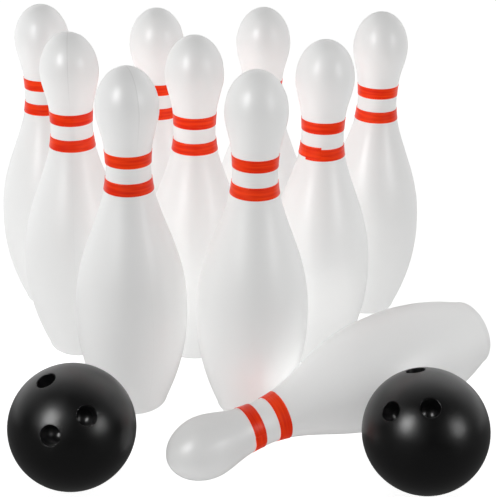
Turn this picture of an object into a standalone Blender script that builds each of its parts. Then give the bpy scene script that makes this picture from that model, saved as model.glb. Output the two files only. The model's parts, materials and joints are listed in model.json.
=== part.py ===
"""Kids bowling set: ten hollow blow-moulded pins, each with two bands of tape round its neck, and two hollow balls.

Nine pins stand in a rack, four at the back, three in the middle and two in front. The tenth lies knocked over in
front of the rack, with a ball on each side of it. Metres, +Z up, seen from the -Y side. The origin is on the
floor, under the middle of the set.
"""

import math

import bmesh
import bpy
import numpy as np
from mathutils import Euler, Matrix, Vector

MM = 0.001

# Pin: outside
PIN_HEIGHT = 240 * MM
BASE_RADIUS = 18.5 * MM
BASE_ROUNDING = 5 * MM
FOOT_RADIUS = 23.4 * MM
BELLY_RADIUS = 37.6 * MM
BELLY_HEIGHT = 69 * MM
NECK_RADIUS = 14.8 * MM
NECK_HEIGHT = 173 * MM
HEAD_RADIUS = 20.5 * MM
HEAD_HEIGHT = 213 * MM

# Pin: wall, and the hole in its base that lets the air in
PIN_WALL = 1.5 * MM
PIN_VENT_RADIUS = 1.5 * MM

# Tape round the neck
TAPE_WIDTH = 8.2 * MM
TAPE_THICKNESS = 0.4 * MM
TAPE_GAP = 0.3 * MM
LOWER_TAPE_HEIGHT = 159 * MM
TAPE_SPACING = 18.3 * MM

# Ball, with the hole that lets the air in at the bottom of its thumb pocket
BALL_RADIUS = 39.3 * MM
BALL_WALL = 2.4 * MM
POCKET_RADIUS = 6.5 * MM
POCKET_DEPTH = 15.5 * MM
BALL_VENT_RADIUS = 1.2 * MM
FINGER_SPREAD_DEG = 36
THUMB_TO_FINGER_DEG = 54.5

# Clear space between neighbouring spots of the rack, the angle between its rows and its slanting lines, and the
# clear space round the pieces in front of it
RACK_GAP = 9.3 * MM
RACK_ANGLE_DEG = 70
LYING_PIN_GAP = 6.0 * MM
LEFT_BALL_GAP = 24 * MM
RIGHT_BALL_GAP = 1.2 * MM

# Each standing pin: its spot as rows back and columns across from the middle spot, how far it was put off that
# spot as shares of the rack gap, and which way it falls, in degrees from +X. The middle pin stays. The two pins
# with None have no room to fall and are lifted.
STAYS = "stays"
STANDING_PINS_SHARES = {
    "pin_1": (1, -1.5, 0.43, 0.00, 90),
    "pin_2": (0, -1.0, -0.63, 0.11, 196),
    "pin_3": (-1, -0.5, 0.02, 0.15, 192),
    "pin_4": (1, -0.5, 0.60, -0.41, 90),
    "pin_5": (0, 0.0, -0.45, 0.04, STAYS),
    "pin_6": (1, 0.5, 0.00, 0.62, 90),
    "pin_7": (-1, 0.5, -0.33, -0.06, None),
    "pin_8": (0, 1.0, 0.06, -0.39, None),
    "pin_9": (1, 1.5, 0.29, -0.02, 90),
}
LYING_PIN = "pin_10"
NEAREST_TO_LYING_PIN = "pin_7"
NEAREST_TO_LEFT_BALL = "pin_3"

# Where along its height, from its base, the lying pin passes its neighbour, and where the right ball is beside it
LYING_PIN_PASS_SHARE = 0.607
RIGHT_BALL_PASS_SHARE = 0.415
LYING_HEADING_DEG = 211.5
LEFT_BALL_BEARING_DEG = 254.4

# How each ball has rolled, as turns about X, Y and Z
LEFT_BALL_TURNS_DEG = (53, -22, 22)
RIGHT_BALL_TURNS_DEG = (38.5, -16, -14.5)

# The points of a pin's outline: how far up its shoulder and its throat are midway between their two radii, and
# where between two named heights its points lie
SHOULDER_MIDWAY_SHARE = 0.567
THROAT_MIDWAY_SHARE = 0.61
CAP_ANGLES_DEG = (62, 32)
THROAT_SHARES = (0.62,)
SHOULDER_SHARES = (0.78, 0.52, 0.26)
FOOT_SHARES = (0.45,)
ROUNDING_ANGLES_DEG = (0, 45)
CAVITY_FOOT_SHARES = (0.35,)
CAVITY_SHOULDER_SHARES = (0.3, 0.6, 0.82)
CAVITY_THROAT_SHARES = (0.45,)
CAVITY_TOP_SHARES = (0.6,)

# How finely round shapes are cut into flats, how the lying pin's tilt is searched for, and the distance at which
# two points are one
PIN_SEGMENTS = 20
BALL_SEGMENTS = 24
BALL_RINGS = 14
CAVITY_SEGMENTS = 16
CAVITY_RINGS = 10
POCKET_SEGMENTS = 12
POCKET_BOTTOM_ANGLES_DEG = (0, 30, 60)
TILT_STEPS = 40
STEEPEST_TILT_DEG = 45
MERGE_DISTANCE = 0.01 * MM

PART_NAME = "kids_bowling_set"
WHITE_PLASTIC = ((0.84, 0.84, 0.83), 0.32)
RED_TAPE = ((0.8, 0.036, 0.006), 0.3)
BLACK_PLASTIC = ((0.012, 0.012, 0.013), 0.26)


# Small helpers

def between(low, high, share):
    return low + (high - low) * share


def eased(share, midway_share):
    """Turns a share from 0 to 1 into one that starts and ends level, and is one half at the midway share."""
    bent = share ** (math.log(1 / 2) / math.log(midway_share))
    return (1 - math.cos(math.pi * bent)) / 2


def across_floor(degrees):
    """The direction along the floor at an angle from +X."""
    angle = math.radians(degrees)
    return Vector((math.cos(angle), math.sin(angle), 0))


# Outline of a pin, as points (radius, height)

def outer_radius(height):
    """A pin's outside radius at a height above its rounded foot."""
    if height <= BELLY_HEIGHT:
        drop = (BELLY_HEIGHT - height) / (BELLY_HEIGHT - BASE_ROUNDING)
        return between(BELLY_RADIUS, FOOT_RADIUS, drop**2)
    if height <= NECK_HEIGHT:
        rise = (height - BELLY_HEIGHT) / (NECK_HEIGHT - BELLY_HEIGHT)
        return between(BELLY_RADIUS, NECK_RADIUS, eased(rise, SHOULDER_MIDWAY_SHARE))
    if height <= HEAD_HEIGHT:
        rise = (height - NECK_HEIGHT) / (HEAD_HEIGHT - NECK_HEIGHT)
        return between(NECK_RADIUS, HEAD_RADIUS, eased(rise, THROAT_MIDWAY_SHARE))
    rise = (height - HEAD_HEIGHT) / (PIN_HEIGHT - HEAD_HEIGHT)
    return HEAD_RADIUS * math.sqrt(1 - rise**2)


def tape_edges():
    """The lower and upper edge of each band of tape."""
    upper_tape_height = LOWER_TAPE_HEIGHT + TAPE_SPACING
    return {
        "upper_stripe": (upper_tape_height, upper_tape_height + TAPE_WIDTH),
        "lower_stripe": (LOWER_TAPE_HEIGHT, LOWER_TAPE_HEIGHT + TAPE_WIDTH),
    }


def outline():
    """A pin's outside, from the top down to its flat base."""
    heights = [between(HEAD_HEIGHT, PIN_HEIGHT, math.sin(math.radians(a))) for a in CAP_ANGLES_DEG]
    heights.append(HEAD_HEIGHT)
    heights += [between(NECK_HEIGHT, HEAD_HEIGHT, share) for share in THROAT_SHARES]
    for lower_edge, upper_edge in tape_edges().values():
        heights += [upper_edge, lower_edge]
    heights += [between(BELLY_HEIGHT, LOWER_TAPE_HEIGHT, share) for share in SHOULDER_SHARES]
    heights.append(BELLY_HEIGHT)
    heights += [between(BASE_ROUNDING, BELLY_HEIGHT, share) for share in FOOT_SHARES]
    points = [(0, PIN_HEIGHT)] + [(outer_radius(height), height) for height in heights]
    for degrees in ROUNDING_ANGLES_DEG:
        angle = math.radians(degrees)
        radius = between(BASE_RADIUS, FOOT_RADIUS, math.cos(angle))
        points.append((radius, BASE_ROUNDING * (1 - math.sin(angle))))
    points.append((BASE_RADIUS, 0))
    return points


def cavity_outline():
    """The hollow inside a pin, from the base hole up to the top."""
    heights = [BASE_ROUNDING]
    heights += [between(BASE_ROUNDING, BELLY_HEIGHT, share) for share in CAVITY_FOOT_SHARES]
    heights.append(BELLY_HEIGHT)
    heights += [between(BELLY_HEIGHT, NECK_HEIGHT, share) for share in CAVITY_SHOULDER_SHARES]
    heights.append(NECK_HEIGHT)
    heights += [between(NECK_HEIGHT, HEAD_HEIGHT, share) for share in CAVITY_THROAT_SHARES]
    heights.append(HEAD_HEIGHT)
    heights += [between(HEAD_HEIGHT, PIN_HEIGHT, share) for share in CAVITY_TOP_SHARES]
    points = [(PIN_VENT_RADIUS, 0), (PIN_VENT_RADIUS, PIN_WALL), (BASE_RADIUS - PIN_WALL, PIN_WALL)]
    points += [(outer_radius(height) - PIN_WALL, height) for height in heights]
    points.append((0, PIN_HEIGHT - PIN_WALL))
    return points


def tape_outline(lower_edge, upper_edge):
    """A band of tape in section, which follows the neck at a small gap."""
    inner = [(outer_radius(height) + TAPE_GAP, height) for height in (lower_edge, upper_edge)]
    outer = [(radius + TAPE_THICKNESS, height) for radius, height in reversed(inner)]
    return inner + outer


# Lying and falling

def reach(points, tilt):
    """How high the base of a lying pin is over the floor, if its head dips by tilt and these points touch."""
    return max(height * math.sin(tilt) + radius * math.cos(tilt) for radius, height in points)


def lying_tilt():
    """How far a lying pin's head dips, when both its belly and its head touch the floor."""
    body = [point for point in outline() if point[1] < NECK_HEIGHT]
    head = [point for point in outline() if point[1] >= NECK_HEIGHT]
    low = 0
    high = math.radians(STEEPEST_TILT_DEG)
    for _ in range(TILT_STEPS):
        middle = (low + high) / 2
        if reach(body, middle) > reach(head, middle):
            low = middle
        else:
            high = middle
    return low


def fall_hinge(direction):
    """Where a pin's hinge lies from the middle of its base, so that the pin swings from standing to lying.

    It is over the edge of the flat base that the pin rocks on, at the height that brings the pin down just onto
    the floor.
    """
    tilt = lying_tilt()
    turn = math.radians(90) + tilt
    height = (reach(outline(), tilt) - BASE_RADIUS * math.sin(turn)) / (1 - math.cos(turn))
    return direction * BASE_RADIUS + Vector((0, 0, height))


# Places on the floor

def standing_places():
    """The middle of each standing pin's base, from the rack's middle spot."""
    spacing = 2 * BELLY_RADIUS + RACK_GAP
    row_depth = spacing * math.sin(math.radians(RACK_ANGLE_DEG))
    places = {}
    for name, (row, column, off_x, off_y, _) in STANDING_PINS_SHARES.items():
        places[name] = Vector((column * spacing + off_x * RACK_GAP, row * row_depth + off_y * RACK_GAP, 0))
    return places


def lying_place(places):
    """The middle of the lying pin's base, and the direction from there to its head."""
    tilt = lying_tilt()
    heading = across_floor(LYING_HEADING_DEG)
    axis = heading * math.cos(tilt) + Vector((0, 0, -math.sin(tilt)))
    offset = BELLY_RADIUS + NECK_RADIUS + LYING_PIN_GAP
    passing = places[NEAREST_TO_LYING_PIN] + across_floor(LYING_HEADING_DEG + 90) * offset
    base = passing - heading * PIN_HEIGHT * LYING_PIN_PASS_SHARE * math.cos(tilt)
    base.z = reach(outline(), tilt)
    return base, axis


def left_ball_place(places):
    distance = BELLY_RADIUS + BALL_RADIUS + LEFT_BALL_GAP
    place = places[NEAREST_TO_LEFT_BALL] + across_floor(LEFT_BALL_BEARING_DEG) * distance
    place.z = BALL_RADIUS
    return place


def right_ball_place(places):
    """Beside the lying pin, on the viewer's side of it."""
    base, axis = lying_place(places)
    height = PIN_HEIGHT * RIGHT_BALL_PASS_SHARE
    place = base + axis * height
    distance = outer_radius(height) + BALL_RADIUS + RIGHT_BALL_GAP
    place += across_floor(LYING_HEADING_DEG + 90) * distance
    place.z = BALL_RADIUS
    return place


# Building blocks

def new_collection(name):
    collection = bpy.data.collections.new(name)
    bpy.context.scene.collection.children.link(collection)
    return collection


def principled(name, look):
    colour, roughness = look
    material = bpy.data.materials.new(name)
    material.use_nodes = True
    shader = material.node_tree.nodes["Principled BSDF"]
    shader.inputs["Base Color"].default_value = (*colour, 1)
    shader.inputs["Roughness"].default_value = roughness
    shader.inputs["Metallic"].default_value = 0
    return material


def new_empty(name, collection, parent):
    """An empty that carries a piece or more, on their joint's axis where they move."""
    carrier = bpy.data.objects.new(name, None)
    carrier.empty_display_size = BELLY_RADIUS
    carrier.parent = parent
    collection.objects.link(carrier)
    return carrier


def outline_mesh(name, points, closed, material):
    """A wire outline in the XZ plane, for a Screw modifier to turn round Z."""
    edges = [(n, n + 1) for n in range(len(points) - 1)]
    if closed:
        edges.append((len(points) - 1, 0))
    mesh = bpy.data.meshes.new(name)
    mesh.from_pydata([(radius, 0, height) for radius, height in points], edges, [])
    if material:
        mesh.materials.append(material)
    return mesh


def turned(name, mesh, collection, segments):
    obj = bpy.data.objects.new(name, mesh)
    collection.objects.link(obj)
    screw = obj.modifiers.new("turned", "SCREW")
    screw.axis = "Z"
    screw.steps = segments
    screw.render_steps = segments
    screw.use_merge_vertices = True
    screw.merge_threshold = MERGE_DISTANCE
    screw.use_smooth_shade = True
    return obj


def sphere_mesh(name, radius, segments, rings):
    mesh = bpy.data.meshes.new(name)
    shape = bmesh.new()
    bmesh.ops.create_uvsphere(shape, u_segments=segments, v_segments=rings, radius=radius)
    shape.to_mesh(mesh)
    shape.free()
    mesh.shade_smooth()
    return mesh


def cut(obj, cutter):
    boolean = obj.modifiers.new(cutter.name, "BOOLEAN")
    boolean.operation = "DIFFERENCE"
    boolean.object = cutter


def as_cutter(obj, parent):
    obj.parent = parent
    obj.hide_render = True
    obj.display_type = "WIRE"
    return obj


# Pins

def pin_meshes(white, red):
    """The outlines that all ten pins share: a shell and two bands of tape."""
    meshes = {"shell": outline_mesh("pin_shell_outline", outline() + cavity_outline(), False, white)}
    for stripe, (lower_edge, upper_edge) in tape_edges().items():
        meshes[stripe] = outline_mesh(f"{stripe}_outline", tape_outline(lower_edge, upper_edge), True, red)
    return meshes


def make_pin(name, meshes, collection, carrier, offset):
    """One pin's three pieces, with the middle of its base at an offset from the empty that carries it."""
    for piece, mesh in meshes.items():
        obj = turned(f"{name}_{piece}", mesh, collection, PIN_SEGMENTS)
        obj.parent = carrier
        obj.location = offset


def make_standing_pin(name, place, meshes, collection, root):
    falls_towards = STANDING_PINS_SHARES[name][-1]
    if falls_towards in (STAYS, None):
        carrier = new_empty(f"{name}_foot", collection, root)
        carrier.location = place
        make_pin(name, meshes, collection, carrier, Vector())
        return
    hinge = fall_hinge(across_floor(falls_towards))
    carrier = new_empty(f"{name}_fall_hinge", collection, root)
    carrier.location = place + hinge
    make_pin(name, meshes, collection, carrier, -hinge)


def make_lying_pin(places, meshes, collection, root):
    """The knocked-over pin, which rolls about its own axis. One of its points faces straight down."""
    base, axis = lying_place(places)
    sideways = across_floor(LYING_HEADING_DEG + 90)
    underside = sideways.cross(axis)
    if underside.z > 0:
        underside.negate()
    turn = Matrix((underside, axis.cross(underside), axis)).transposed()
    carrier = new_empty(f"{LYING_PIN}_roll_axis", collection, root)
    carrier.location = base + axis * BELLY_HEIGHT
    carrier.rotation_euler = turn.to_euler()
    make_pin(LYING_PIN, meshes, collection, carrier, Vector((0, 0, -BELLY_HEIGHT)))


# Balls

def pocket_directions():
    """The ways that the thumb pocket and the two finger pockets point, from the ball's middle."""
    half_spread = math.radians(FINGER_SPREAD_DEG / 2)
    thumb_angle = math.acos(math.cos(math.radians(THUMB_TO_FINGER_DEG)) / math.cos(half_spread))
    return {
        "thumb": Vector((0, math.sin(thumb_angle), math.cos(thumb_angle))),
        "left_finger": Vector((-math.sin(half_spread), 0, math.cos(half_spread))),
        "right_finger": Vector((math.sin(half_spread), 0, math.cos(half_spread))),
    }


def pocket_outline(wall):
    """A round-bottomed pocket along +Z, or the outside of its wall. It runs out past the ball by its radius."""
    radius = POCKET_RADIUS + wall
    bottom_middle = BALL_RADIUS - POCKET_DEPTH + POCKET_RADIUS
    top = BALL_RADIUS + POCKET_RADIUS
    points = [(0, top), (radius, top)]
    for degrees in POCKET_BOTTOM_ANGLES_DEG:
        angle = math.radians(degrees)
        points.append((radius * math.cos(angle), bottom_middle - radius * math.sin(angle)))
    points.append((0, bottom_middle - radius))
    return points


def vent_outline():
    """A thin hole through the bottom of the thumb pocket into the hollow ball."""
    pocket_bottom = BALL_RADIUS - POCKET_DEPTH
    top = pocket_bottom + BALL_WALL
    bottom = pocket_bottom - 2 * BALL_WALL
    return [(0, top), (BALL_VENT_RADIUS, top), (BALL_VENT_RADIUS, bottom), (0, bottom)]


def make_ball(name, place, turns_deg, black, collection, cutters, root):
    """A hollow ball with three walled pockets. Its middle is on the axis that it rolls about."""
    mesh = sphere_mesh(f"{name}_outside", BALL_RADIUS, BALL_SEGMENTS, BALL_RINGS)
    mesh.materials.append(black)
    ball = bpy.data.objects.new(name, mesh)
    collection.objects.link(ball)
    ball.parent = root
    ball.location = place

    inside = sphere_mesh(f"{name}_inside", BALL_RADIUS - BALL_WALL, CAVITY_SEGMENTS, CAVITY_RINGS)
    cavity = as_cutter(bpy.data.objects.new(f"{name}_cavity", inside), ball)
    cutters.objects.link(cavity)

    turns = Euler([math.radians(turn) for turn in turns_deg]).to_quaternion()
    for pocket, direction in pocket_directions().items():
        facing = turns @ direction
        holes = {"pocket": pocket_outline(0), "pocket_wall": pocket_outline(BALL_WALL)}
        if pocket == "thumb":
            holes["vent"] = vent_outline()
        for hole, points in holes.items():
            hole_mesh = outline_mesh(f"{name}_{pocket}_{hole}", points, False, None)
            cutter = as_cutter(turned(hole_mesh.name, hole_mesh, cutters, POCKET_SEGMENTS), ball)
            cutter.rotation_euler = facing.to_track_quat("Z", "Y").to_euler()
            cut(cavity if hole == "pocket_wall" else ball, cutter)
    cut(ball, cavity)
    ball.modifiers.move(len(ball.modifiers) - 1, 0)


# The whole set

def centre_on_floor(root, collection):
    """Moves the set so that its origin is under the middle of its bounding box."""
    bpy.context.view_layer.update()
    graph = bpy.context.evaluated_depsgraph_get()
    corners = []
    for obj in collection.objects:
        if obj.type != "MESH":
            continue
        mesh = obj.evaluated_get(graph).data
        points = np.empty(len(mesh.vertices) * 3)
        mesh.vertices.foreach_get("co", points)
        place = np.array(obj.matrix_world)
        points = points.reshape(-1, 3) @ place[:3, :3].T + place[:3, 3]
        corners += [points.min(axis=0), points.max(axis=0)]
    middle = (np.min(corners, axis=0) + np.max(corners, axis=0)) / 2
    root.location = (-middle[0], -middle[1], 0)
    bpy.context.view_layer.update()


def main():
    for obj in list(bpy.data.objects):
        bpy.data.objects.remove(obj)
    parts = new_collection(PART_NAME)
    cutters = new_collection("cutters")
    white = principled("white_plastic", WHITE_PLASTIC)
    red = principled("red_tape", RED_TAPE)
    black = principled("black_plastic", BLACK_PLASTIC)
    root = new_empty("set_middle", parts, None)

    places = standing_places()
    meshes = pin_meshes(white, red)
    for name, place in places.items():
        make_standing_pin(name, place, meshes, parts, root)
    make_lying_pin(places, meshes, parts, root)
    left, right = left_ball_place(places), right_ball_place(places)
    make_ball("ball_left", left, LEFT_BALL_TURNS_DEG, black, parts, cutters, root)
    make_ball("ball_right", right, RIGHT_BALL_TURNS_DEG, black, parts, cutters, root)
    centre_on_floor(root, parts)


main()
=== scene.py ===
# %% [markdown]
# # A kids bowling set
#
# The set has ten hollow plastic pins, each with two bands of red tape round its neck, and two hollow black balls
# with finger pockets. Nine pins stand in three rows, and the tenth lies knocked over between the balls. This lesson
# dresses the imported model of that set: it loads the plain solids as a fixed frame, and gives each of them a finer
# shape and a finish. All sizes are in metres, so a value in millimetres is multiplied by MM.

import json
import math

import bmesh
import bpy
import numpy as np
from mathutils import Euler, Matrix, Vector

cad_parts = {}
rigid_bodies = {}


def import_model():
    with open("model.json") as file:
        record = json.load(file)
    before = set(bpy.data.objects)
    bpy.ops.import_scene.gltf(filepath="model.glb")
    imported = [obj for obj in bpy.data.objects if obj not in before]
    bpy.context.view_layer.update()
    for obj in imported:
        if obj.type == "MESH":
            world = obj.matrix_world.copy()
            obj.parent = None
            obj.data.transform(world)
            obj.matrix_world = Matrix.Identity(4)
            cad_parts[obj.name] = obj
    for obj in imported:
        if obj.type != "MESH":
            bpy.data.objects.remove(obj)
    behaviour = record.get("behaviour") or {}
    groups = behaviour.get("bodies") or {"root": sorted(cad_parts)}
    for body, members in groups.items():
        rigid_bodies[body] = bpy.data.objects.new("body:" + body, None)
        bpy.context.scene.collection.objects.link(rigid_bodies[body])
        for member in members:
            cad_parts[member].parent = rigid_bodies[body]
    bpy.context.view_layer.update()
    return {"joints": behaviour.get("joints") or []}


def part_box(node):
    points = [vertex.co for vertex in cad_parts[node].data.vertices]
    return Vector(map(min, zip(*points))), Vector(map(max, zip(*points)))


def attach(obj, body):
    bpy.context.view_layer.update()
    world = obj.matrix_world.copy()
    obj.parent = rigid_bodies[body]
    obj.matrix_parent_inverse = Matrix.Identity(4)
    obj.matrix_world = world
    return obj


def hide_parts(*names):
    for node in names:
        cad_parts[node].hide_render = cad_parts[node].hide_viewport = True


for old in list(bpy.data.objects):
    bpy.data.objects.remove(old)
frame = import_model()
MM = 0.001

# %% [markdown]
# ## Camera
#
# The set is seen from in front and above, from a little over 0.8 metres away, with a fairly long lens, so that the
# far pins look about a fifth smaller than the near ones. A camera can be placed by eye, or its place can be worked
# out from points whose position is known both on the object and in the picture. The second way was used, because
# the nine standing pins give many such points. The place, the three turns and the focal length come from that.

# %% Camera
PICTURE_LONG_SIDE_PX = 497
FOCAL_LENGTH_PX = 1209.4
CAMERA_PLACE = Vector((21.67, -756.83, 449.17)) * MM
CAMERA_TURN_DEG, CAMERA_DIP_DEG, CAMERA_TILT_DEG = 0.602, 24.559, 1.096
SENSOR_WIDTH_MM = 36


def new_object(name, data):
    """Puts a camera, a lamp or a mesh into the scene."""
    holder = bpy.data.objects.new(name, data)
    bpy.context.scene.collection.objects.link(holder)
    return holder


lens = bpy.data.cameras.new("camera")
lens.sensor_width = SENSOR_WIDTH_MM
lens.lens = SENSOR_WIDTH_MM * FOCAL_LENGTH_PX / PICTURE_LONG_SIDE_PX
camera = new_object("camera", lens)
aim = Matrix.Rotation(math.radians(CAMERA_TURN_DEG), 4, "Z")
aim @= Matrix.Rotation(math.radians(90 - CAMERA_DIP_DEG), 4, "X")
aim @= Matrix.Rotation(math.radians(CAMERA_TILT_DEG), 4, "Z")
camera.matrix_world = Matrix.Translation(CAMERA_PLACE) @ aim
bpy.context.scene.camera = camera
print("lens", round(lens.lens, 1), "mm, at", [round(x, 3) for x in CAMERA_PLACE])

# %% [markdown]
# ## Studio
#
# White toys on a white ground are shot in a tent of light, so that neither they nor the ground get dark shadows.
# The light comes from the two sides, from in front and from the lit ground below. About half of the side light
# throws no shadows and so reaches all pins alike. The rest throws soft ones, so that each pin shades its neighbours
# a little. The sky is darker overhead, and the backdrop behind the set is bright low down.
#
# Satin plastic also mirrors the room. So reflections see a room of their own, dark in front and white behind, with
# a softbox on either side of the viewer. These two show as the pair of highlights on each head and each ball, and
# their places were worked out from those highlights. The last lamp is a narrow one for the lying pin.

# %% Node helpers
def add_node(tree, kind, settings=None, **links):
    """Adds a node, sets its properties, and fills its inputs with values or with other nodes' outputs."""
    node = tree.nodes.new(kind)
    for name, value in (settings or {}).items():
        setattr(node, name, value)
    for name, value in links.items():
        socket = node.inputs[int(name[1:])] if name[0] == "_" else node.inputs[name.replace("_", " ")]
        if isinstance(value, bpy.types.NodeSocket):
            tree.links.new(value, socket)
        else:
            socket.default_value = value
    return node


def calculate(tree, operation, *values):
    """One step of arithmetic on numbers, in a material or a geometry tree."""
    inputs = {f"_{place}": value for place, value in enumerate(values)}
    return add_node(tree, "ShaderNodeMath", {"operation": operation}, **inputs).outputs[0]


def product(tree, first, *others):
    """Multiplies two or more numbers."""
    for other in others:
        first = calculate(tree, "MULTIPLY", first, other)
    return first


def spread(tree, value, low, high, low_at=0.35, high_at=0.65):
    """Turns a range of a value into a range of numbers. Most of a random pattern lies from 0.35 to 0.65."""
    return add_node(tree, "ShaderNodeMapRange", Value=value, From_Min=low_at, From_Max=high_at, To_Min=low,
                    To_Max=high).outputs[0]


# %% World
# A direction has a height, from 0 at the horizon to 1 overhead, and a depth, from 0 beside the set to 1 straight
# behind it. The sky falls from its low to its high strength. The backdrop's light is added to it from one depth to
# the next, and fades out between its two heights.
SKY_LOW, SKY_HIGH, SKY_HIGH_AT = 0.56, 0.08, 0.8
BACKDROP_LIGHT = 3.5
BACKDROP_HEIGHTS, BACKDROP_DEPTHS = (0.02, 0.22), (0.3, 0.8)
# The strength of the dark front of the room in reflections, and the depths between which it turns white.
DARK_ROOM, ROOM_DEPTHS = 0.04, (0.0, 0.6)

bpy.context.scene.view_settings.view_transform = "Standard"
studio = bpy.data.worlds.new("studio")
studio.use_nodes = True
bpy.context.scene.world = studio
tree = studio.node_tree
tree.nodes.clear()
path = add_node(tree, "ShaderNodeLightPath").outputs
direction = add_node(tree, "ShaderNodeTexCoord").outputs["Generated"]
towards = add_node(tree, "ShaderNodeSeparateXYZ", Vector=direction).outputs
sky = spread(tree, towards["Z"], SKY_LOW, SKY_HIGH, 0, SKY_HIGH_AT)
low = spread(tree, towards["Z"], 1, 0, *BACKDROP_HEIGHTS)
behind = spread(tree, towards["Y"], 0, BACKDROP_LIGHT, *BACKDROP_DEPTHS)
sky_and_backdrop = calculate(tree, "ADD", sky, product(tree, low, behind))
room = spread(tree, towards["Y"], DARK_ROOM, 1, *ROOM_DEPTHS)
lighting, white, mirrored = (
    add_node(tree, "ShaderNodeBackground", Color=(1, 1, 1, 1), Strength=strength).outputs[0]
    for strength in (sky_and_backdrop, 1, room)
)
seen = calculate(tree, "MAXIMUM", path["Is Camera Ray"], path["Is Transmission Ray"])
direct = add_node(tree, "ShaderNodeMixShader", _0=seen, _1=lighting, _2=white).outputs[0]
both = add_node(tree, "ShaderNodeMixShader", _0=path["Is Glossy Ray"], _1=direct, _2=mirrored).outputs[0]
add_node(tree, "ShaderNodeOutputWorld", Surface=both)
print("sky from", SKY_LOW, "down to", SKY_HIGH, "and up to", BACKDROP_LIGHT, "more from the low backdrop")

# %% Floor
# The camera sees the lit floor with a glow added, which brings it up to white and leaves the soft shadows on it.
# Reflections see a table that is dark near the viewer and turns white between these two distances from the set.
FLOOR_SIZE = 8
FLOOR_COLOUR = (0.5, 0.5, 0.5, 1)
FLOOR_GLOW = 0.82
DARK_TABLE, TABLE_DEPTHS = 0.13, (-0.05, 0.25)

bpy.ops.mesh.primitive_plane_add(size=FLOOR_SIZE)
floor = bpy.context.object
floor.name = "floor"
paper = bpy.data.materials.new("floor_paper")
paper.use_nodes = True
tree = paper.node_tree
tree.nodes.clear()
path = add_node(tree, "ShaderNodeLightPath").outputs
matt = add_node(tree, "ShaderNodeBsdfDiffuse", Color=FLOOR_COLOUR).outputs[0]
glow = add_node(tree, "ShaderNodeEmission", Strength=product(tree, path["Is Camera Ray"], FLOOR_GLOW)).outputs[0]
lit = add_node(tree, "ShaderNodeAddShader", _0=matt, _1=glow).outputs[0]
on_floor = add_node(tree, "ShaderNodeTexCoord").outputs["Object"]
depth = add_node(tree, "ShaderNodeSeparateXYZ", Vector=on_floor).outputs["Y"]
table = spread(tree, depth, DARK_TABLE, 1, *TABLE_DEPTHS)
mirrored = add_node(tree, "ShaderNodeEmission", Strength=table).outputs[0]
both = add_node(tree, "ShaderNodeMixShader", _0=path["Is Glossy Ray"], _1=lit, _2=mirrored).outputs[0]
add_node(tree, "ShaderNodeOutputMaterial", Surface=both)
floor.data.materials.append(paper)
print("floor", FLOOR_SIZE, "metres wide")

# %% Light tent
# Each side's direction, as degrees to the right from straight in front and degrees up, the share of full white that
# it gives to a white surface that faces it, and whether it throws soft shadows.
TENT_SIDES = {
    "tent_left": (-90, 12, 0.12, False), "wide_lamp_left": (-90, 12, 0.13, True),
    "tent_right": (100, 12, 0.17, False), "wide_lamp_right": (100, 12, 0.17, True),
    "tent_front": (0, 15, 0.35, False), "tent_below": (0, -80, 0.33, False),
}
TENT_DISTANCE, WIDE_LAMP_ANGLE_DEG = 2, 60
SET_MIDDLE = Vector((0, 0, 0.1))


def facing_lamp(name, lamp, middle, offset):
    """Hangs a lamp at an offset from a middle, facing it."""
    holder = new_object(name, lamp)
    holder.location = middle + offset
    holder.rotation_euler = offset.to_track_quat("Z", "Y").to_euler()
    return holder


def lamp_towards(name, lamp, azimuth_deg, rise_deg, distance):
    """Hangs a lamp in a direction from the middle of the set."""
    azimuth, rise = math.radians(azimuth_deg), math.radians(rise_deg)
    towards = Vector((math.sin(azimuth) * math.cos(rise), -math.cos(azimuth) * math.cos(rise), math.sin(rise)))
    return facing_lamp(name, lamp, SET_MIDDLE, towards * distance)


for name, (azimuth_deg, rise_deg, share, shadows) in TENT_SIDES.items():
    lamp = bpy.data.lights.new(name, "SUN")
    lamp.energy = math.pi * share
    lamp.use_shadow = shadows
    if shadows:
        lamp.angle = math.radians(WIDE_LAMP_ANGLE_DEG)
    lamp_towards(name, lamp, azimuth_deg, rise_deg, TENT_DISTANCE).visible_glossy = False
    print(name, "gives", share)

# %% Softboxes
# Azimuth and rise in degrees, distance, width and height in metres, watts, and what the softbox does. One that is
# "mirrored" shows only in reflections, one that "lights" gives light without shadows, and one that "shades" gives
# light with soft shadows.
SOFTBOXES = {
    "softbox_left": (-39.0, 31.5, 1.0, 0.30, 0.42, 6.0, "mirrored"),
    "softbox_right": (57.0, 21.0, 1.4, 0.42, 0.50, 4.5, "mirrored"),
    "softbox_behind": (180, 37, 1.4, 2.80, 0.80, 3.5, "mirrored"),
    "wall_left": (-84, 12, 1.0, 0.80, 0.80, 3.0, "lights"),
    "lamp_above": (0, 82, 1.6, 1.60, 1.20, 1.5, "shades"),
}

for name, (azimuth_deg, rise_deg, distance, width, height, watts, use) in SOFTBOXES.items():
    lamp = bpy.data.lights.new(name, "AREA")
    lamp.shape = "RECTANGLE"
    lamp.size, lamp.size_y, lamp.energy = width, height, watts
    lamp.use_shadow = use == "shades"
    lamp.cycles.use_multiple_importance_sampling = use == "shades"
    holder = lamp_towards(name, lamp, azimuth_deg, rise_deg, distance)
    holder.visible_diffuse = use != "mirrored"
    holder.visible_glossy = use == "mirrored"
    print(name, "at", [round(x, 2) for x in holder.location])

# %% Lamp for the lying pin
# A narrow lamp from above, because the lying pin turns its long side up, where the tent gives the least light.
LYING_PIN_MIDDLE = Vector((125, -40, 40)) * MM
SPOT_OFFSET = Vector((0.20, -0.30, 1.3))
SPOT_WATTS, SPOT_CONE_DEG, SPOT_SOFT_EDGE, SPOT_RADIUS = 12, 15, 1.0, 0.1

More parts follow.
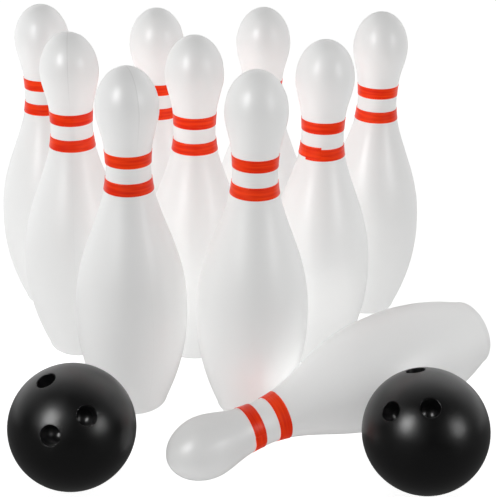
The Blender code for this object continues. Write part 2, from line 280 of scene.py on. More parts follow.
spot = bpy.data.lights.new("spot_on_lying_pin", "SPOT")
spot.energy, spot.spot_size, spot.spot_blend = SPOT_WATTS, math.radians(SPOT_CONE_DEG), SPOT_SOFT_EDGE
spot.shadow_soft_size = SPOT_RADIUS
facing_lamp("spot_on_lying_pin", spot, LYING_PIN_MIDDLE, SPOT_OFFSET).visible_glossy = False
print("spot on the lying pin,", SPOT_CONE_DEG, "degrees wide")

# %% [markdown]
# ## Pin outline
#
# A pin is blown from a tube of soft polyethylene in a mould of two halves, so it is round about its axis, thin, and
# hollow, with one small hole left in its base. Its shape is one outline: a low rounded foot, a full belly, a neck
# and an egg-shaped head. Such an outline could be drawn as a curve with handles. Here the radius at each height
# comes from a short rule instead, so that each size has a name and can be changed by itself. The rule's curves meet
# level at the belly, the neck and the head, so that the outline has no kink there.

# %% Sizes of a pin
PIN_HEIGHT = 240 * MM
BASE_RADIUS, BASE_ROUNDING = 18.5 * MM, 5 * MM
FOOT_RADIUS = 23.4 * MM
BELLY_RADIUS, BELLY_HEIGHT = 37.6 * MM, 69 * MM
NECK_RADIUS, NECK_HEIGHT = 14.8 * MM, 173 * MM
HEAD_RADIUS, HEAD_HEIGHT = 20.5 * MM, 213 * MM
SHOULDER_MIDWAY_SHARE, THROAT_MIDWAY_SHARE = 0.567, 0.61
PIN_WALL = 1.5 * MM
PIN_VENT_RADIUS, PIN_VENT_EDGE = 1.5 * MM, 0.3 * MM
# How far the lying pin's skin and every head's top stay inside the plain outline, so that no curve is proud of the
# plain solids' box.
LYING_PIN_INSET, TOP_INSET = 0.26 * MM, 0.10 * MM


# %% Outline of a pin
def between(low, high, share):
    """The value at a share of the way from one to another."""
    return low + (high - low) * share


def eased(share, midway_share):
    """Bends a share from 0 to 1, so that it starts and ends level and is one half at the midway share."""
    bent = share ** (math.log(1 / 2) / math.log(midway_share))
    return (1 - math.cos(math.pi * bent)) / 2


def pin_radius(height):
    """A pin's outside radius at a height above its rounded foot."""
    if height <= BELLY_HEIGHT:
        drop = (BELLY_HEIGHT - height) / (BELLY_HEIGHT - BASE_ROUNDING)
        return between(BELLY_RADIUS, FOOT_RADIUS, drop**2)
    if height <= NECK_HEIGHT:
        rise = (height - BELLY_HEIGHT) / (NECK_HEIGHT - BELLY_HEIGHT)
        return between(BELLY_RADIUS, NECK_RADIUS, eased(rise, SHOULDER_MIDWAY_SHARE))
    if height <= HEAD_HEIGHT:
        rise = (height - NECK_HEIGHT) / (HEAD_HEIGHT - NECK_HEIGHT)
        return between(NECK_RADIUS, HEAD_RADIUS, eased(rise, THROAT_MIDWAY_SHARE))
    rise = (height - HEAD_HEIGHT) / (PIN_HEIGHT - HEAD_HEIGHT)
    return HEAD_RADIUS * math.sqrt(max(0, 1 - rise**2))


# Rows of points on the head's top, on the side below it, and on the rounded edge of the base, and then inside on
# the side and on the head's top, which starts that many degrees above the head's widest row.
TOP_ROWS, SIDE_ROWS, EDGE_ROWS = 24, 90, 9
INSIDE_SIDE_ROWS, INSIDE_TOP_ROWS, INSIDE_TOP_STARTS_DEG = 30, 6, 15


def outside_points():
    """From the middle of the top down to the edge of the flat base."""
    points = []
    for turn in np.linspace(90, 0, TOP_ROWS, endpoint=False):
        height = between(HEAD_HEIGHT, PIN_HEIGHT - TOP_INSET, math.sin(math.radians(turn)))
        points.append((HEAD_RADIUS * math.cos(math.radians(turn)), height))
    for height in np.linspace(HEAD_HEIGHT, BASE_ROUNDING, SIDE_ROWS, endpoint=False):
        points.append((pin_radius(height), height))
    for turn in np.linspace(0, 90, EDGE_ROWS):
        radius = between(BASE_RADIUS, FOOT_RADIUS, math.cos(math.radians(turn)))
        points.append((radius, BASE_ROUNDING * (1 - math.sin(math.radians(turn)))))
    return points


def inside_points():
    """From the hole in the base up the wall to the middle of the top, inside."""
    points = [
        (PIN_VENT_RADIUS + PIN_VENT_EDGE, 0), (PIN_VENT_RADIUS, PIN_VENT_EDGE), (PIN_VENT_RADIUS, PIN_WALL),
        (BASE_RADIUS - PIN_WALL, PIN_WALL),
    ]
    for height in np.linspace(BASE_ROUNDING, HEAD_HEIGHT, INSIDE_SIDE_ROWS):
        points.append((pin_radius(height) - PIN_WALL, height))
    for turn in np.linspace(INSIDE_TOP_STARTS_DEG, 90, INSIDE_TOP_ROWS):
        height = between(HEAD_HEIGHT, PIN_HEIGHT, math.sin(math.radians(turn)))
        share = math.cos(math.radians(turn))
        points.append(((HEAD_RADIUS - PIN_WALL) * share, height - PIN_WALL * math.sin(math.radians(turn))))
    return points


outside, inside = outside_points(), inside_points()
print(len(outside), "points outside,", len(inside), "inside")

# %% [markdown]
# ## Turning the outline
#
# A surface that repeats one outline round an axis can be made with a Screw modifier or by spinning it. Geometry
# Nodes were chosen, because the same tree can also raise the fine line that the two halves of the mould leave, and
# the slight waviness of blown plastic. A flat grid has one row of points for each point of the outline, and one
# column for each step of the turn. Each grid point is sent to its place on the pin. The columns are gathered at
# the two places where the mould line runs, where they are needed.

# %% Tree helpers
def new_tree(name, **inputs):
    """A geometry tree with named inputs, given as (kind of socket, value)."""
    tree = bpy.data.node_groups.new(name, "GeometryNodeTree")
    tree.interface.new_socket("Geometry", in_out="INPUT", socket_type="NodeSocketGeometry")
    for label, (kind, value) in inputs.items():
        socket = tree.interface.new_socket(label.replace("_", " "), in_out="INPUT", socket_type=f"NodeSocket{kind}")
        if value is not None:
            socket.default_value = value
    tree.interface.new_socket("Geometry", in_out="OUTPUT", socket_type="NodeSocketGeometry")
    return tree, tree.nodes.new("NodeGroupInput").outputs


def marked(tree, geometry, name, value):
    """Stores a number on every point, for a material to read."""
    return add_node(tree, "GeometryNodeStoreNamedAttribute", Geometry=geometry, Name=name, Value=value).outputs[0]


def turned_place(tree, radius, angle, height):
    """The place at a radius from the axis, an angle round it and a height."""
    x, y = (product(tree, radius, calculate(tree, way, angle)) for way in ("COSINE", "SINE"))
    return add_node(tree, "ShaderNodeCombineXYZ", X=x, Y=y, Z=height).outputs[0]


def end_tree(tree, geometry, material):
    """Every tree ends with real geometry in its material."""
    real = add_node(tree, "GeometryNodeRealizeInstances", _0=geometry)
    coloured = add_node(tree, "GeometryNodeSetMaterial", Geometry=real.outputs[0], Material=material)
    smooth = add_node(tree, "GeometryNodeSetShadeSmooth", _0=coloured.outputs[0])
    add_node(tree, "NodeGroupOutput", _0=smooth.outputs[0])


def applied(holder):
    """The mesh of an object with its modifiers applied. The object itself goes."""
    bpy.context.view_layer.update()
    graph = bpy.context.evaluated_depsgraph_get()
    mesh = bpy.data.meshes.new_from_object(holder.evaluated_get(graph))
    bpy.data.objects.remove(holder)
    return mesh


def grown(name, start_mesh, tree, **values):
    """Runs a tree on a mesh with these inputs, and gives the result as a plain mesh."""
    holder = new_object(name, start_mesh)
    modifier = holder.modifiers.new("tree", "NODES")
    modifier.node_group = tree
    sockets = {item.name: item.identifier for item in tree.interface.items_tree if item.in_out == "INPUT"}
    for label, value in values.items():
        modifier[sockets[label.replace("_", " ")]] = value
    mesh = applied(holder)
    mesh.name = name
    return mesh


def wire(name, points, **numbers):
    """A mesh of loose points (radius, 0, height), with a number on each point for each list given."""
    mesh = bpy.data.meshes.new(name)
    mesh.from_pydata([(radius, 0, height) for radius, height in points], [], [])
    for label, values in numbers.items():
        attribute = mesh.attributes.new(label, "FLOAT", "POINT")
        attribute.data.foreach_set("value", values)
    return mesh


def sampled_row(tree, points, share):
    """The outline point that a share from 0 to 1 names: its radius, height and number, and how many there are."""
    count = add_node(tree, "GeometryNodeAttributeDomainSize", {"component": "MESH"}, Geometry=points).outputs[0]
    last = calculate(tree, "SUBTRACT", count, 1)
    number = calculate(tree, "ROUND", product(tree, share, last))
    place = add_node(tree, "GeometryNodeInputPosition").outputs[0]
    taken = add_node(tree, "GeometryNodeSampleIndex", {"data_type": "FLOAT_VECTOR"},
                     Geometry=points, Value=place, Index=number)
    parts = add_node(tree, "ShaderNodeSeparateXYZ", Vector=taken.outputs[0]).outputs
    return parts["X"], parts["Z"], number, count


# %% Tree: a turned shell with the mould's line
SHELL_COLUMNS, GATHERING = 128, 0.85
LINE_HEIGHT, LINE_WIDTH = 0.08 * MM, 0.4 * MM
# The line is strongest over the top of the head, where the mould pinched the tube shut. These are the heights, as
# shares of the pin's, between which it grows to its full strength, and the share that is left of it lower down.
LINE_FADES, LINE_FULL, LINE_FAINTEST = 0.80, 0.92, 0.25
# The skin dips by up to this much, in a pattern of this scale.
UNEVENNESS, UNEVENNESS_SCALE = 0.10 * MM, 22.0
# All columns meet in one point on the axis, so line, dips and inset fade out within this radius.
FADE_RADIUS = 6 * MM
MERGE_DISTANCE = 0.001 * MM


def shell_tree():
    """Turns an outline into a closed shell, with the mould's line raised on its outer skin."""
    tree, given = new_tree(
        "turned_shell",
        Columns=("Int", SHELL_COLUMNS), Gathering=("Float", GATHERING), Line_Height=("Float", LINE_HEIGHT),
        Line_Width=("Float", LINE_WIDTH), Line_Turn=("Float", 0.0), Inset=("Float", 0.0),
        Unevenness=("Float", UNEVENNESS), Seed=("Float", 0.0), Material=("Material", None),
    )
    grid = tree.nodes.new("GeometryNodeMeshGrid")
    tree.links.new(calculate(tree, "ADD", given["Columns"], 1), grid.inputs["Vertices X"])
    split = add_node(tree, "ShaderNodeSeparateXYZ", Vector=grid.outputs["UV Map"]).outputs
    radius, height, number, count = sampled_row(tree, given["Geometry"], split["Y"])
    tree.links.new(count, grid.inputs["Vertices Y"])
    skin = add_node(tree, "GeometryNodeInputNamedAttribute", Name="skin").outputs[0]
    outer = add_node(tree, "GeometryNodeSampleIndex", Geometry=given["Geometry"], Value=skin, Index=number).outputs[0]

    # Columns evenly round the axis are pulled towards the two sides where the line runs.
    even = product(tree, split["X"], 2 * math.pi)
    wave = calculate(tree, "SINE", product(tree, even, 2))
    angle = calculate(tree, "SUBTRACT", even, product(tree, given["Gathering"], 0.5, wave))
    from_line = calculate(tree, "ABSOLUTE", product(tree, radius, calculate(tree, "SINE", angle)))

    in_widths = calculate(tree, "DIVIDE", from_line, given["Line Width"])
    ridge = calculate(tree, "EXPONENT", product(tree, in_widths, in_widths, -1))
    strength = spread(tree, height, LINE_FAINTEST, 1, LINE_FADES * PIN_HEIGHT, LINE_FULL * PIN_HEIGHT)
    raised = product(tree, ridge, strength, given["Line Height"], outer)

    turned = calculate(tree, "ADD", angle, given["Line Turn"])
    noise = add_node(tree, "ShaderNodeTexNoise", {"noise_dimensions": "4D"},
                     Vector=turned_place(tree, radius, turned, height), W=given["Seed"], Scale=UNEVENNESS_SCALE,
                     Detail=1.0).outputs[0]
    dip = product(tree, noise, given["Unevenness"], outer)
    inset = calculate(tree, "ADD", given["Line Height"], given["Inset"])
    lowered = calculate(tree, "ADD", product(tree, inset, outer), dip)
    off_axis = calculate(tree, "MINIMUM", product(tree, radius, 1 / FADE_RADIUS), 1)
    lift = product(tree, calculate(tree, "SUBTRACT", raised, lowered), off_axis)
    place = turned_place(tree, calculate(tree, "ADD", radius, lift), turned, height)

    shell = marked(tree, grid.outputs["Mesh"], "from_line", product(tree, from_line, 1 / MM))
    shell = marked(tree, shell, "up_the_pin", calculate(tree, "DIVIDE", height, PIN_HEIGHT))
    shell = add_node(tree, "GeometryNodeSetPosition", Geometry=shell, Position=place).outputs[0]
    closed = add_node(tree, "GeometryNodeMergeByDistance", Geometry=shell, Distance=MERGE_DISTANCE).outputs[0]
    end_tree(tree, closed, given["Material"])
    return tree


turned_shell = shell_tree()
outline = wire("pin_outline", outside + inside, skin=[1.0] * len(outside) + [0.0] * len(inside))
print("the shell's tree has", len(turned_shell.nodes), "nodes")

# %% [markdown]
# ## White plastic
#
# Blown polyethylene is milky white with a satin surface. The skin has a very fine grain and a slight waviness, so
# that highlights have soft, faintly uneven edges. The line that the mould leaves is a fine ridge. A painted shade
# of grey runs along it, strongest on the head, and stands in for the shadow beside that ridge. A flat white would
# look like paper, so the colour, the roughness and the fine relief each vary a little, at sizes from half a
# millimetre to some centimetres. Light also goes a little way into the real plastic. The shader's subsurface could
# show that. It was left out, because it mostly fills shadows, and a tent of light leaves few.

# %% Material helpers
def new_finish(name, **settings):
    """A material with one shader whose plain values are set here."""
    material = bpy.data.materials.new(name)
    material.use_nodes = True
    shader = material.node_tree.nodes["Principled BSDF"]
    for label, value in settings.items():
        shader.inputs[label.replace("_", " ")].default_value = value
    coordinates = add_node(material.node_tree, "ShaderNodeTexCoord").outputs["Object"]
    return material, material.node_tree, shader, coordinates


def cloudy(tree, coordinates, size, detail=2.0, roughness=0.5):
    """Soft random patches of about a size in metres, from 0 to 1."""
    return add_node(tree, "ShaderNodeTexNoise", Vector=coordinates, Scale=0.5 / size, Detail=detail,
                    Roughness=roughness).outputs[0]


def mixed(tree, share, first, second):
    """A colour between two, by a share. The mix node keeps its colours in inputs 6 and 7 and in output 2."""
    return add_node(tree, "ShaderNodeMix", {"data_type": "RGBA"}, _0=share, _6=first, _7=second).outputs[2]


def relief(tree, shader, *layers):
    """Bumps, each given as (pattern, its height in metres), one on top of the other."""
    normal = None
    for pattern, height in layers:
        bump = add_node(tree, "ShaderNodeBump", Height=pattern, Distance=height)
        if normal:
            tree.links.new(normal, bump.inputs["Normal"])
        normal = bump.outputs[0]
    tree.links.new(normal, shader.inputs["Normal"])


# %% White plastic
MILKY_WHITES = (0.845, 0.845, 0.838, 1), (0.86, 0.86, 0.857, 1)
# The grey of the painted shade along the mould line.
LINE_PAINTED_SHADE = (0.45, 0.45, 0.44, 1)
# How strong the painted shade along the line is on the neck and on the head, and how far from the line, in
# millimetres, it fades.
LINE_SHADE_SHARES, LINE_SHADE_FADES = (0.04, 0.25), (0.08, 0.40)
WHITE_ROUGHNESS = 0.31, 0.37
# A pattern spread over more than its usual range gives faint changes.
FAINTLY = 0.2, 0.8

white_plastic, tree, shader, at = new_finish("white_blown_plastic", IOR=1.5, Specular_IOR_Level=0.5)
milky = mixed(tree, spread(tree, cloudy(tree, at, 40 * MM, 1), 0, 1, *FAINTLY), *MILKY_WHITES)
from_line, up_the_pin = (
    add_node(tree, "ShaderNodeAttribute", {"attribute_name": name}).outputs["Fac"]
    for name in ("from_line", "up_the_pin")
)
# Painted shade: a grey along the mould line, strongest on the head, stands in for the shadow beside the ridge.
line_shade_near = spread(tree, from_line, 1, 0, *LINE_SHADE_FADES)
line_shade_on_head = spread(tree, up_the_pin, *LINE_SHADE_SHARES, LINE_FADES, LINE_FULL)
with_line_shade = mixed(tree, product(tree, line_shade_near, line_shade_on_head), milky, LINE_PAINTED_SHADE)
tree.links.new(with_line_shade, shader.inputs["Base Color"])
satin = spread(tree, cloudy(tree, at, 9 * MM, 2), *WHITE_ROUGHNESS, *FAINTLY)
tree.links.new(satin, shader.inputs["Roughness"])
waviness, grain = cloudy(tree, at, 14 * MM, 0), cloudy(tree, at, 0.6 * MM, 1)
relief(tree, shader, (waviness, 0.05 * MM), (grain, 0.004 * MM))
print("white plastic has", len(tree.nodes), "nodes")

# %% [markdown]
# ## Ten pins
#
# All pins come from one mould, and each stands with its mould line in its own direction. Two of the pins in the
# picture show that line on their heads. The middle of each standing pin is read from the plain solid that it
# replaces, and the lying pin's axis from its joint, so the finer pins stand exactly where the plain ones do.

# %% Places of the pins
LYING_PIN = "pin_10"
joints = {joint["name"]: joint for joint in frame["joints"]}


def standing_place(pin):
    """A standing pin's axis meets the ground under the middle of its plain solid."""
    low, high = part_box(f"{pin}_shell")
    return Matrix.Translation(((low.x + high.x) / 2, (low.y + high.y) / 2, 0))


def lying_place():
    """The roll joint is on the pin's axis, at the height of its belly, and points at its head."""
    roll = joints[f"{LYING_PIN}_roll"]
    axis = Vector(roll["axis"]).normalized()
    up = Vector((0, 0, 1))
    side = up.cross(axis).normalized()
    turn = Matrix((side, axis.cross(side), axis)).transposed().to_4x4()
    return Matrix.Translation(Vector(roll["pos_m"]) - axis * BELLY_HEIGHT) @ turn


pins = [f"pin_{number}" for number in range(1, 11)]
places = {pin: lying_place() if pin == LYING_PIN else standing_place(pin) for pin in pins}
insets = {pin: LYING_PIN_INSET if pin == LYING_PIN else 0.0 for pin in pins}
for pin, place in places.items():
    print(pin, [round(x, 4) for x in place.translation])

# %% Shells
# Where each pin's mould line faces, in degrees from +X, seen from above.
LINE_TURNS_DEG = {
    "pin_1": 10, "pin_2": -84, "pin_3": -62, "pin_4": 25, "pin_5": 0,
    "pin_6": -15, "pin_7": 5, "pin_8": 160, "pin_9": 12, "pin_10": 130,
}
CM3_IN_M3 = 1e6


def place_piece(name, mesh, body, node):
    """Makes an object of a finished mesh, and lets it stand for a solid."""
    piece = new_object(name, mesh)
    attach(piece, body)
    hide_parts(node)


def face_outwards(mesh):
    """Turns a closed mesh right side out, if its faces point inwards. Gives its size in words."""
    check = bmesh.new()
    check.from_mesh(mesh)
    volume = check.calc_volume(signed=True)
    if volume < 0:
        bmesh.ops.reverse_faces(check, faces=check.faces)
        check.to_mesh(mesh)
    open_edges = sum(edge.is_boundary for edge in check.edges)
    check.free()
    return f"{len(mesh.polygons)} faces, {abs(volume) * CM3_IN_M3:.3f} cm3, {open_edges} open edges"


for number, (pin, place) in enumerate(places.items()):
    mesh = grown(f"{pin}_skin", outline, turned_shell, Columns=SHELL_COLUMNS, Gathering=GATHERING,
                 Line_Height=LINE_HEIGHT, Line_Width=LINE_WIDTH, Line_Turn=math.radians(LINE_TURNS_DEG[pin]),
                 Inset=insets[pin], Unevenness=UNEVENNESS, Seed=float(number), Material=white_plastic)
    size = face_outwards(mesh)
    mesh.transform(place)
    place_piece(f"{pin}_skin", mesh, pin, f"{pin}_shell")
    print(pin, "shell,", size)

# %% [markdown]
# ## Red tape
#
# Two bands of orange-red vinyl tape go round each neck. Each is one strip, wound on by hand: it starts somewhere,
# goes once round and laps over its own start, and often comes back a little higher or lower. Such a strip could be
# a plain ring, but the lap is what makes it look like tape. Here a grid is wound round the neck, its rows follow
# the neck's outline, and after one full turn it climbs onto its own start. A Solidify modifier gives it its
# thickness, and a Bevel its soft edges.

# %% Tree: a band wound round the neck
# The length of the climb onto the strip's own start, as an angle in radians.
BAND_COLUMNS, CLIMB_ANGLE = 150, 0.10


def band_tree():
    """Winds a section once round the axis, and on over its own start."""
    tree, given = new_tree(
        "wound_band",
        Columns=("Int", BAND_COLUMNS), Start=("Float", 0.0), Lap=("Float", 0.4), Skew=("Float", 0.0),
        Lift=("Float", 0.0), Ramp=("Float", CLIMB_ANGLE), Material=("Material", None),
    )
    grid = tree.nodes.new("GeometryNodeMeshGrid")
    tree.links.new(given["Columns"], grid.inputs["Vertices X"])
    split = add_node(tree, "ShaderNodeSeparateXYZ", Vector=grid.outputs["UV Map"]).outputs
    radius, height, _, count = sampled_row(tree, given["Geometry"], split["Y"])
    tree.links.new(count, grid.inputs["Vertices Y"])

    wound = product(tree, split["X"], calculate(tree, "ADD", given["Lap"], 2 * math.pi))
    climb_starts = calculate(tree, "SUBTRACT", 2 * math.pi, given["Ramp"])
    climb = calculate(tree, "DIVIDE", calculate(tree, "SUBTRACT", wound, climb_starts), given["Ramp"])
    climb = add_node(tree, "ShaderNodeMapRange", {"interpolation_type": "SMOOTHSTEP"}, Value=climb).outputs[0]
    full = calculate(tree, "ADD", radius, product(tree, climb, given["Lift"]))
    rise = product(tree, given["Skew"], calculate(tree, "SUBTRACT", split["X"], 0.5))
    place = turned_place(tree, full, calculate(tree, "ADD", wound, given["Start"]),
                         calculate(tree, "ADD", height, rise))

    strip = marked(tree, grid.outputs["Mesh"], "along", split["X"])
    strip = marked(tree, strip, "across", split["Y"])
    strip = add_node(tree, "GeometryNodeSetPosition", Geometry=strip, Position=place).outputs[0]
    end_tree(tree, strip, given["Material"])
    return tree


wound_band = band_tree()
print("the band's tree has", len(wound_band.nodes), "nodes")

# %% [markdown]
# ## Vinyl
#
# The tape is orange-red vinyl. It is soft, so it takes up a faint waviness from the hand that pressed it on, and it
# was pulled while it was wound, which leaves faint streaks along it. A pattern in plain coordinates would cut
# across the strip. So the streaks read two numbers that the tree stored on it: how far a point is along the strip,
# and how far across. The place on the set is mixed in, so that no two strips have the same streaks.

# %% Vinyl
TAPE_REDS = (0.74, 0.017, 0.002, 1), (0.94, 0.054, 0.003, 1)
TAPE_ROUGHNESS = 0.30, 0.38
STREAKS_ALONG, STREAKS_ACROSS, STREAKS_PER_METRE_OF_SET = 4, 5, 20
PATCH_SHARE, STREAK_SHARE = 0.35, 0.65

red_vinyl, tree, shader, at = new_finish("red_vinyl_tape", IOR=1.5, Specular_IOR_Level=0.22)
along, across = (
    add_node(tree, "ShaderNodeAttribute", {"attribute_name": name}).outputs["Fac"] for name in ("along", "across")
)
on_set = add_node(tree, "ShaderNodeSeparateXYZ", Vector=at).outputs
own = product(tree, calculate(tree, "ADD", on_set["X"], on_set["Z"]), STREAKS_PER_METRE_OF_SET)
on_strip = add_node(tree, "ShaderNodeCombineXYZ", X=product(tree, along, STREAKS_ALONG),
                    Y=product(tree, across, STREAKS_ACROSS), Z=own).outputs[0]
streaks = add_node(tree, "ShaderNodeTexNoise", Vector=on_strip, Scale=1.0, Detail=2.0).outputs[0]
streaks = spread(tree, streaks, 0, 1)
patches = spread(tree, cloudy(tree, at, 12 * MM), 0, 1)
share = calculate(tree, "ADD", product(tree, patches, PATCH_SHARE), product(tree, streaks, STREAK_SHARE))
tree.links.new(mixed(tree, share, *TAPE_REDS), shader.inputs["Base Color"])
tree.links.new(spread(tree, cloudy(tree, at, 8 * MM, 2), *TAPE_ROUGHNESS), shader.inputs["Roughness"])
waviness, grain = cloudy(tree, at, 8 * MM, 1), cloudy(tree, at, 0.5 * MM, 2)
relief(tree, shader, (waviness, 0.04 * MM), (streaks, 0.02 * MM), (grain, 0.004 * MM))
print("red vinyl has", len(tree.nodes), "nodes")

# %% Bands
TAPE_WIDTH, TAPE_THICKNESS = 8.2 * MM, 0.18 * MM
LOWER_TAPE_HEIGHT, TAPE_SPACING = 159 * MM, 18.3 * MM
# Air between tape and shell, and between the two layers of a lap, and the width of the softened edge.
TAPE_CLEARANCE, LAP_CLEARANCE, TAPE_SOFT_EDGE = 0.01 * MM, 0.02 * MM, 0.05 * MM
BAND_ROWS = 7

# Each band's start and lap in degrees, and how much higher it comes back, in millimetres.
DEFAULT_WINDING = (100, 22, 0.0)
WINDINGS = {
    "pin_8_lower_stripe": (-136, 42, 1.7),
    "pin_8_upper_stripe": (60, 20, 0.2),
    "pin_10_upper_stripe": (-20, 30, 0.3),
}


def band_points(pin, low_edge):
    """The shell's outline under a band, from its low edge up."""
    heights = np.linspace(low_edge, low_edge + TAPE_WIDTH, BAND_ROWS)
    return [(pin_radius(height) - insets[pin] + TAPE_CLEARANCE, height) for height in heights]


def wind(pin, stripe, low_edge):
    """Makes one strip of tape on a pin. Gives its size in words."""
    start, lap, skew = WINDINGS.get(f"{pin}_{stripe}", DEFAULT_WINDING)
    mesh = grown(f"{pin}_{stripe}", wire("band_section", band_points(pin, low_edge)), wound_band,
                 Columns=BAND_COLUMNS, Start=math.radians(start), Lap=math.radians(lap), Skew=skew * MM,
                 Lift=TAPE_THICKNESS + LAP_CLEARANCE, Ramp=CLIMB_ANGLE, Material=red_vinyl)
    strip = new_object("strip", mesh)
    thicken = strip.modifiers.new("thickness", "SOLIDIFY")
    thicken.thickness, thicken.offset = TAPE_THICKNESS, 1
    soften = strip.modifiers.new("soft edges", "BEVEL")
    soften.width, soften.segments, soften.limit_method = TAPE_SOFT_EDGE, 1, "ANGLE"
    solid = applied(strip)
    size = face_outwards(solid)
    solid.transform(places[pin])
    place_piece(f"{pin}_{stripe}_tape", solid, pin, f"{pin}_{stripe}")
    return size


for pin in pins:
    for stripe, low_edge in (("lower_stripe", LOWER_TAPE_HEIGHT), ("upper_stripe", LOWER_TAPE_HEIGHT + TAPE_SPACING)):
        print(pin, stripe, wind(pin, stripe, low_edge))

# %% [markdown]
# ## Black plastic
#
# The balls are moulded in black plastic with a satin surface. It is so dark that almost all one sees of it is what
# it reflects: soft highlights of the two softboxes, and a grey sheen towards the top. A plain black with one
# roughness would look like glass. Faint rubbing marks, a slight waviness and a fine grain prevent that.

# %% Black plastic
BLACKS = (0.0012, 0.0012, 0.0013, 1), (0.002, 0.002, 0.0022, 1)
BLACK_ROUGHNESS = 0.31, 0.36

black_plastic, tree, shader, at = new_finish("black_satin_plastic", IOR=1.5, Specular_IOR_Level=0.5)
dusty = spread(tree, cloudy(tree, at, 18 * MM, 4), 0, 1)
tree.links.new(mixed(tree, dusty, *BLACKS), shader.inputs["Base Color"])
rubbed = spread(tree, cloudy(tree, at, 6 * MM, 4), *BLACK_ROUGHNESS)
tree.links.new(rubbed, shader.inputs["Roughness"])
waviness, grain = cloudy(tree, at, 10 * MM, 1), cloudy(tree, at, 0.5 * MM, 2)
relief(tree, shader, (waviness, 0.05 * MM), (grain, 0.005 * MM))
print("black plastic has", len(tree.nodes), "nodes")

# %% [markdown]
# ## Balls
#
# A ball is a hollow sphere with three walled pockets, one for the thumb and two for the fingers, each with a
# slightly rounded rim and a round bottom. A Boolean cut would leave long thin faces round each rim, which show in
# a dark and shiny surface. So each pocket is turned from its own outline, out to a ring on the ball, and the rest
# of the ball is points spread evenly over the sphere, joined with those rings by a convex hull. Points on a
# sphere are all on their hull, and the hull joins each to its neighbours.

# %% Sizes of a ball
BALL_RADIUS = 39.3 * MM
POCKET_RADIUS, POCKET_DEPTH = 6.1 * MM, 15.5 * MM
BALL_VENT_RADIUS, BALL_VENT_DEPTH, BALL_VENT_EDGE = 1.2 * MM, 2.2 * MM, 0.2 * MM
RIM_ROUNDING = 0.45 * MM
FINGER_SPREAD_DEG, THUMB_TO_FINGER_DEG = 36, 54.5
# A pocket's patch of the ball reaches this far from its axis, and the evenly spread points keep a little off it.
PATCH_ANGLE_DEG, PATCH_CLEARANCE_DEG = 15.5, 1.3
BOTTOM_ROWS, WALL_ROWS, RIM_ROWS, PATCH_ROWS = 14, 8, 8, 6
POCKET_COLUMNS = 72
SPHERE_POINTS = 7000
# Each ball's body, and the turns about X, Y and Z that bring its pockets to their places.
BALLS = {"ball_left": ("left_ball", (53, -22, 22)), "ball_right": ("right_ball", (38.5, -16, -14.5))}


def pocket_profile(vented):
    """A pocket's outline (radius, height over the ball's middle), from its bottom out to the ring on the ball."""
    middle = BALL_RADIUS - POCKET_DEPTH + POCKET_RADIUS
    points = []
    low = BALL_VENT_RADIUS if vented else 0
    for turn in np.linspace(math.asin(low / POCKET_RADIUS), math.pi / 2, BOTTOM_ROWS):
        points.append((POCKET_RADIUS * math.sin(turn), middle - POCKET_RADIUS * math.cos(turn)))
    if vented:
        mouth = points[0][1]
        deep = mouth - BALL_VENT_DEPTH
        points = [(0, deep), (BALL_VENT_RADIUS, deep), (BALL_VENT_RADIUS, mouth - BALL_VENT_EDGE)] + points
    rim_radius = POCKET_RADIUS + RIM_ROUNDING
    rim_height = math.sqrt((BALL_RADIUS - RIM_ROUNDING) ** 2 - rim_radius**2)
    points += [(POCKET_RADIUS, height) for height in np.linspace(middle, rim_height, WALL_ROWS)[1:]]
    lean = math.atan2(rim_height, rim_radius)
    for turn in np.linspace(math.pi, lean, RIM_ROWS)[1:]:
        points.append((rim_radius + RIM_ROUNDING * math.cos(turn), rim_height + RIM_ROUNDING * math.sin(turn)))
    start = math.asin(points[-1][0] / BALL_RADIUS)
    for turn in np.linspace(start, math.radians(PATCH_ANGLE_DEG), PATCH_ROWS)[1:]:
        points.append((BALL_RADIUS * math.sin(turn), BALL_RADIUS * math.cos(turn)))
    return points


print("finger pocket", len(pocket_profile(False)), "rows, thumb pocket", len(pocket_profile(True)), "rows")


# %% Pocket directions
def pocket_directions():
    """Where the three pockets lie on a ball that hasn't been turned yet."""
    half_spread = math.radians(FINGER_SPREAD_DEG / 2)
    thumb_angle = math.acos(math.cos(math.radians(THUMB_TO_FINGER_DEG)) / math.cos(half_spread))
    return {
        "thumb": Vector((0, math.sin(thumb_angle), math.cos(thumb_angle))),
        "left_finger": Vector((-math.sin(half_spread), 0, math.cos(half_spread))),
        "right_finger": Vector((math.sin(half_spread), 0, math.cos(half_spread))),
    }


print("pockets lie towards", {pocket: [round(x, 2) for x in way] for pocket, way in pocket_directions().items()})


# %% A ball's surface
def evenly_spread(count):
    """Points on a sphere of radius 1 along a spiral that gives each the same room."""
    number = np.arange(count) + 0.5
    height = 1 - 2 * number / count
    turn = number * math.pi * (3 - math.sqrt(5))
    flat = np.sqrt(1 - height**2)
    return np.column_stack((flat * np.cos(turn), flat * np.sin(turn), height))


def pocket_rows(shape, direction, profile):
    """Points of a pocket turned from its outline, as rows from the bottom out, on a ball of radius 1."""
    turn = direction.to_track_quat("Z", "Y").to_matrix()
    rows = []
    for radius, height in profile:
        columns = 1 if radius == 0 else POCKET_COLUMNS
        row = []
        for column in range(columns):
            angle = 2 * math.pi * column / columns
            spot = Vector((radius * math.cos(angle), radius * math.sin(angle), height))
            row.append(shape.verts.new(turn @ spot / BALL_RADIUS))
        rows.append(row)
    return rows


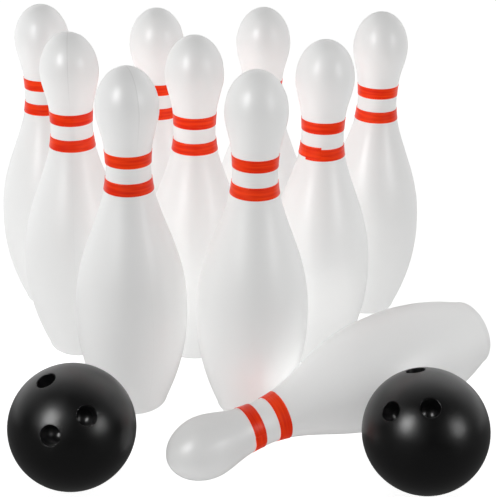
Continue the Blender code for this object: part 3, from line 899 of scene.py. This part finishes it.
def join_rows(shape, rows):
    """Faces between each row of a pocket and the next."""
    for inner, outer in zip(rows, rows[1:]):
        for column in range(POCKET_COLUMNS):
            after = (column + 1) % POCKET_COLUMNS
            if len(inner) == 1:
                shape.faces.new((inner[0], outer[column], outer[after]))
            else:
                shape.faces.new((inner[column], outer[column], outer[after], inner[after]))


print(len(evenly_spread(SPHERE_POINTS)), "points on a whole ball")


# %% Balls
def ball_mesh(name, turns_deg):
    """A ball with its three pockets, around the origin."""
    turns = Euler([math.radians(turn) for turn in turns_deg]).to_matrix()
    facing = {pocket: turns @ direction for pocket, direction in pocket_directions().items()}
    points = evenly_spread(SPHERE_POINTS)
    clear = math.cos(math.radians(PATCH_ANGLE_DEG + PATCH_CLEARANCE_DEG))
    for direction in facing.values():
        points = points[points @ np.array(direction) < clear]

    shape = bmesh.new()
    pockets = {pocket: pocket_rows(shape, direction, pocket_profile(pocket == "thumb"))
               for pocket, direction in facing.items()}
    edge_ring = {vert: pocket for pocket, rows in pockets.items() for vert in rows[-1]}
    loose = [shape.verts.new(point) for point in points]
    bmesh.ops.convex_hull(shape, input=loose + list(edge_ring))
    # The hull also closes each pocket's mouth. Those faces have all their corners on one ring.
    caps = []
    for face in shape.faces:
        owners = {edge_ring.get(vert) for vert in face.verts}
        if len(owners) == 1 and None not in owners:
            caps.append(face)
    bmesh.ops.delete(shape, geom=caps, context="FACES_ONLY")
    for rows in pockets.values():
        join_rows(shape, rows)

    bmesh.ops.scale(shape, vec=(BALL_RADIUS,) * 3, verts=shape.verts)
    bmesh.ops.recalc_face_normals(shape, faces=shape.faces)
    for face in shape.faces:
        face.smooth = True
    mesh = bpy.data.meshes.new(name)
    shape.to_mesh(mesh)
    shape.free()
    return mesh


for node, (body, turns_deg) in BALLS.items():
    mesh = ball_mesh(f"{node}_skin", turns_deg)
    mesh.materials.append(black_plastic)
    size = face_outwards(mesh)
    mesh.transform(Matrix.Translation(joints[f"{body}_roll"]["pos_m"]))
    place_piece(f"{node}_skin", mesh, body, node)
    print(node, size)
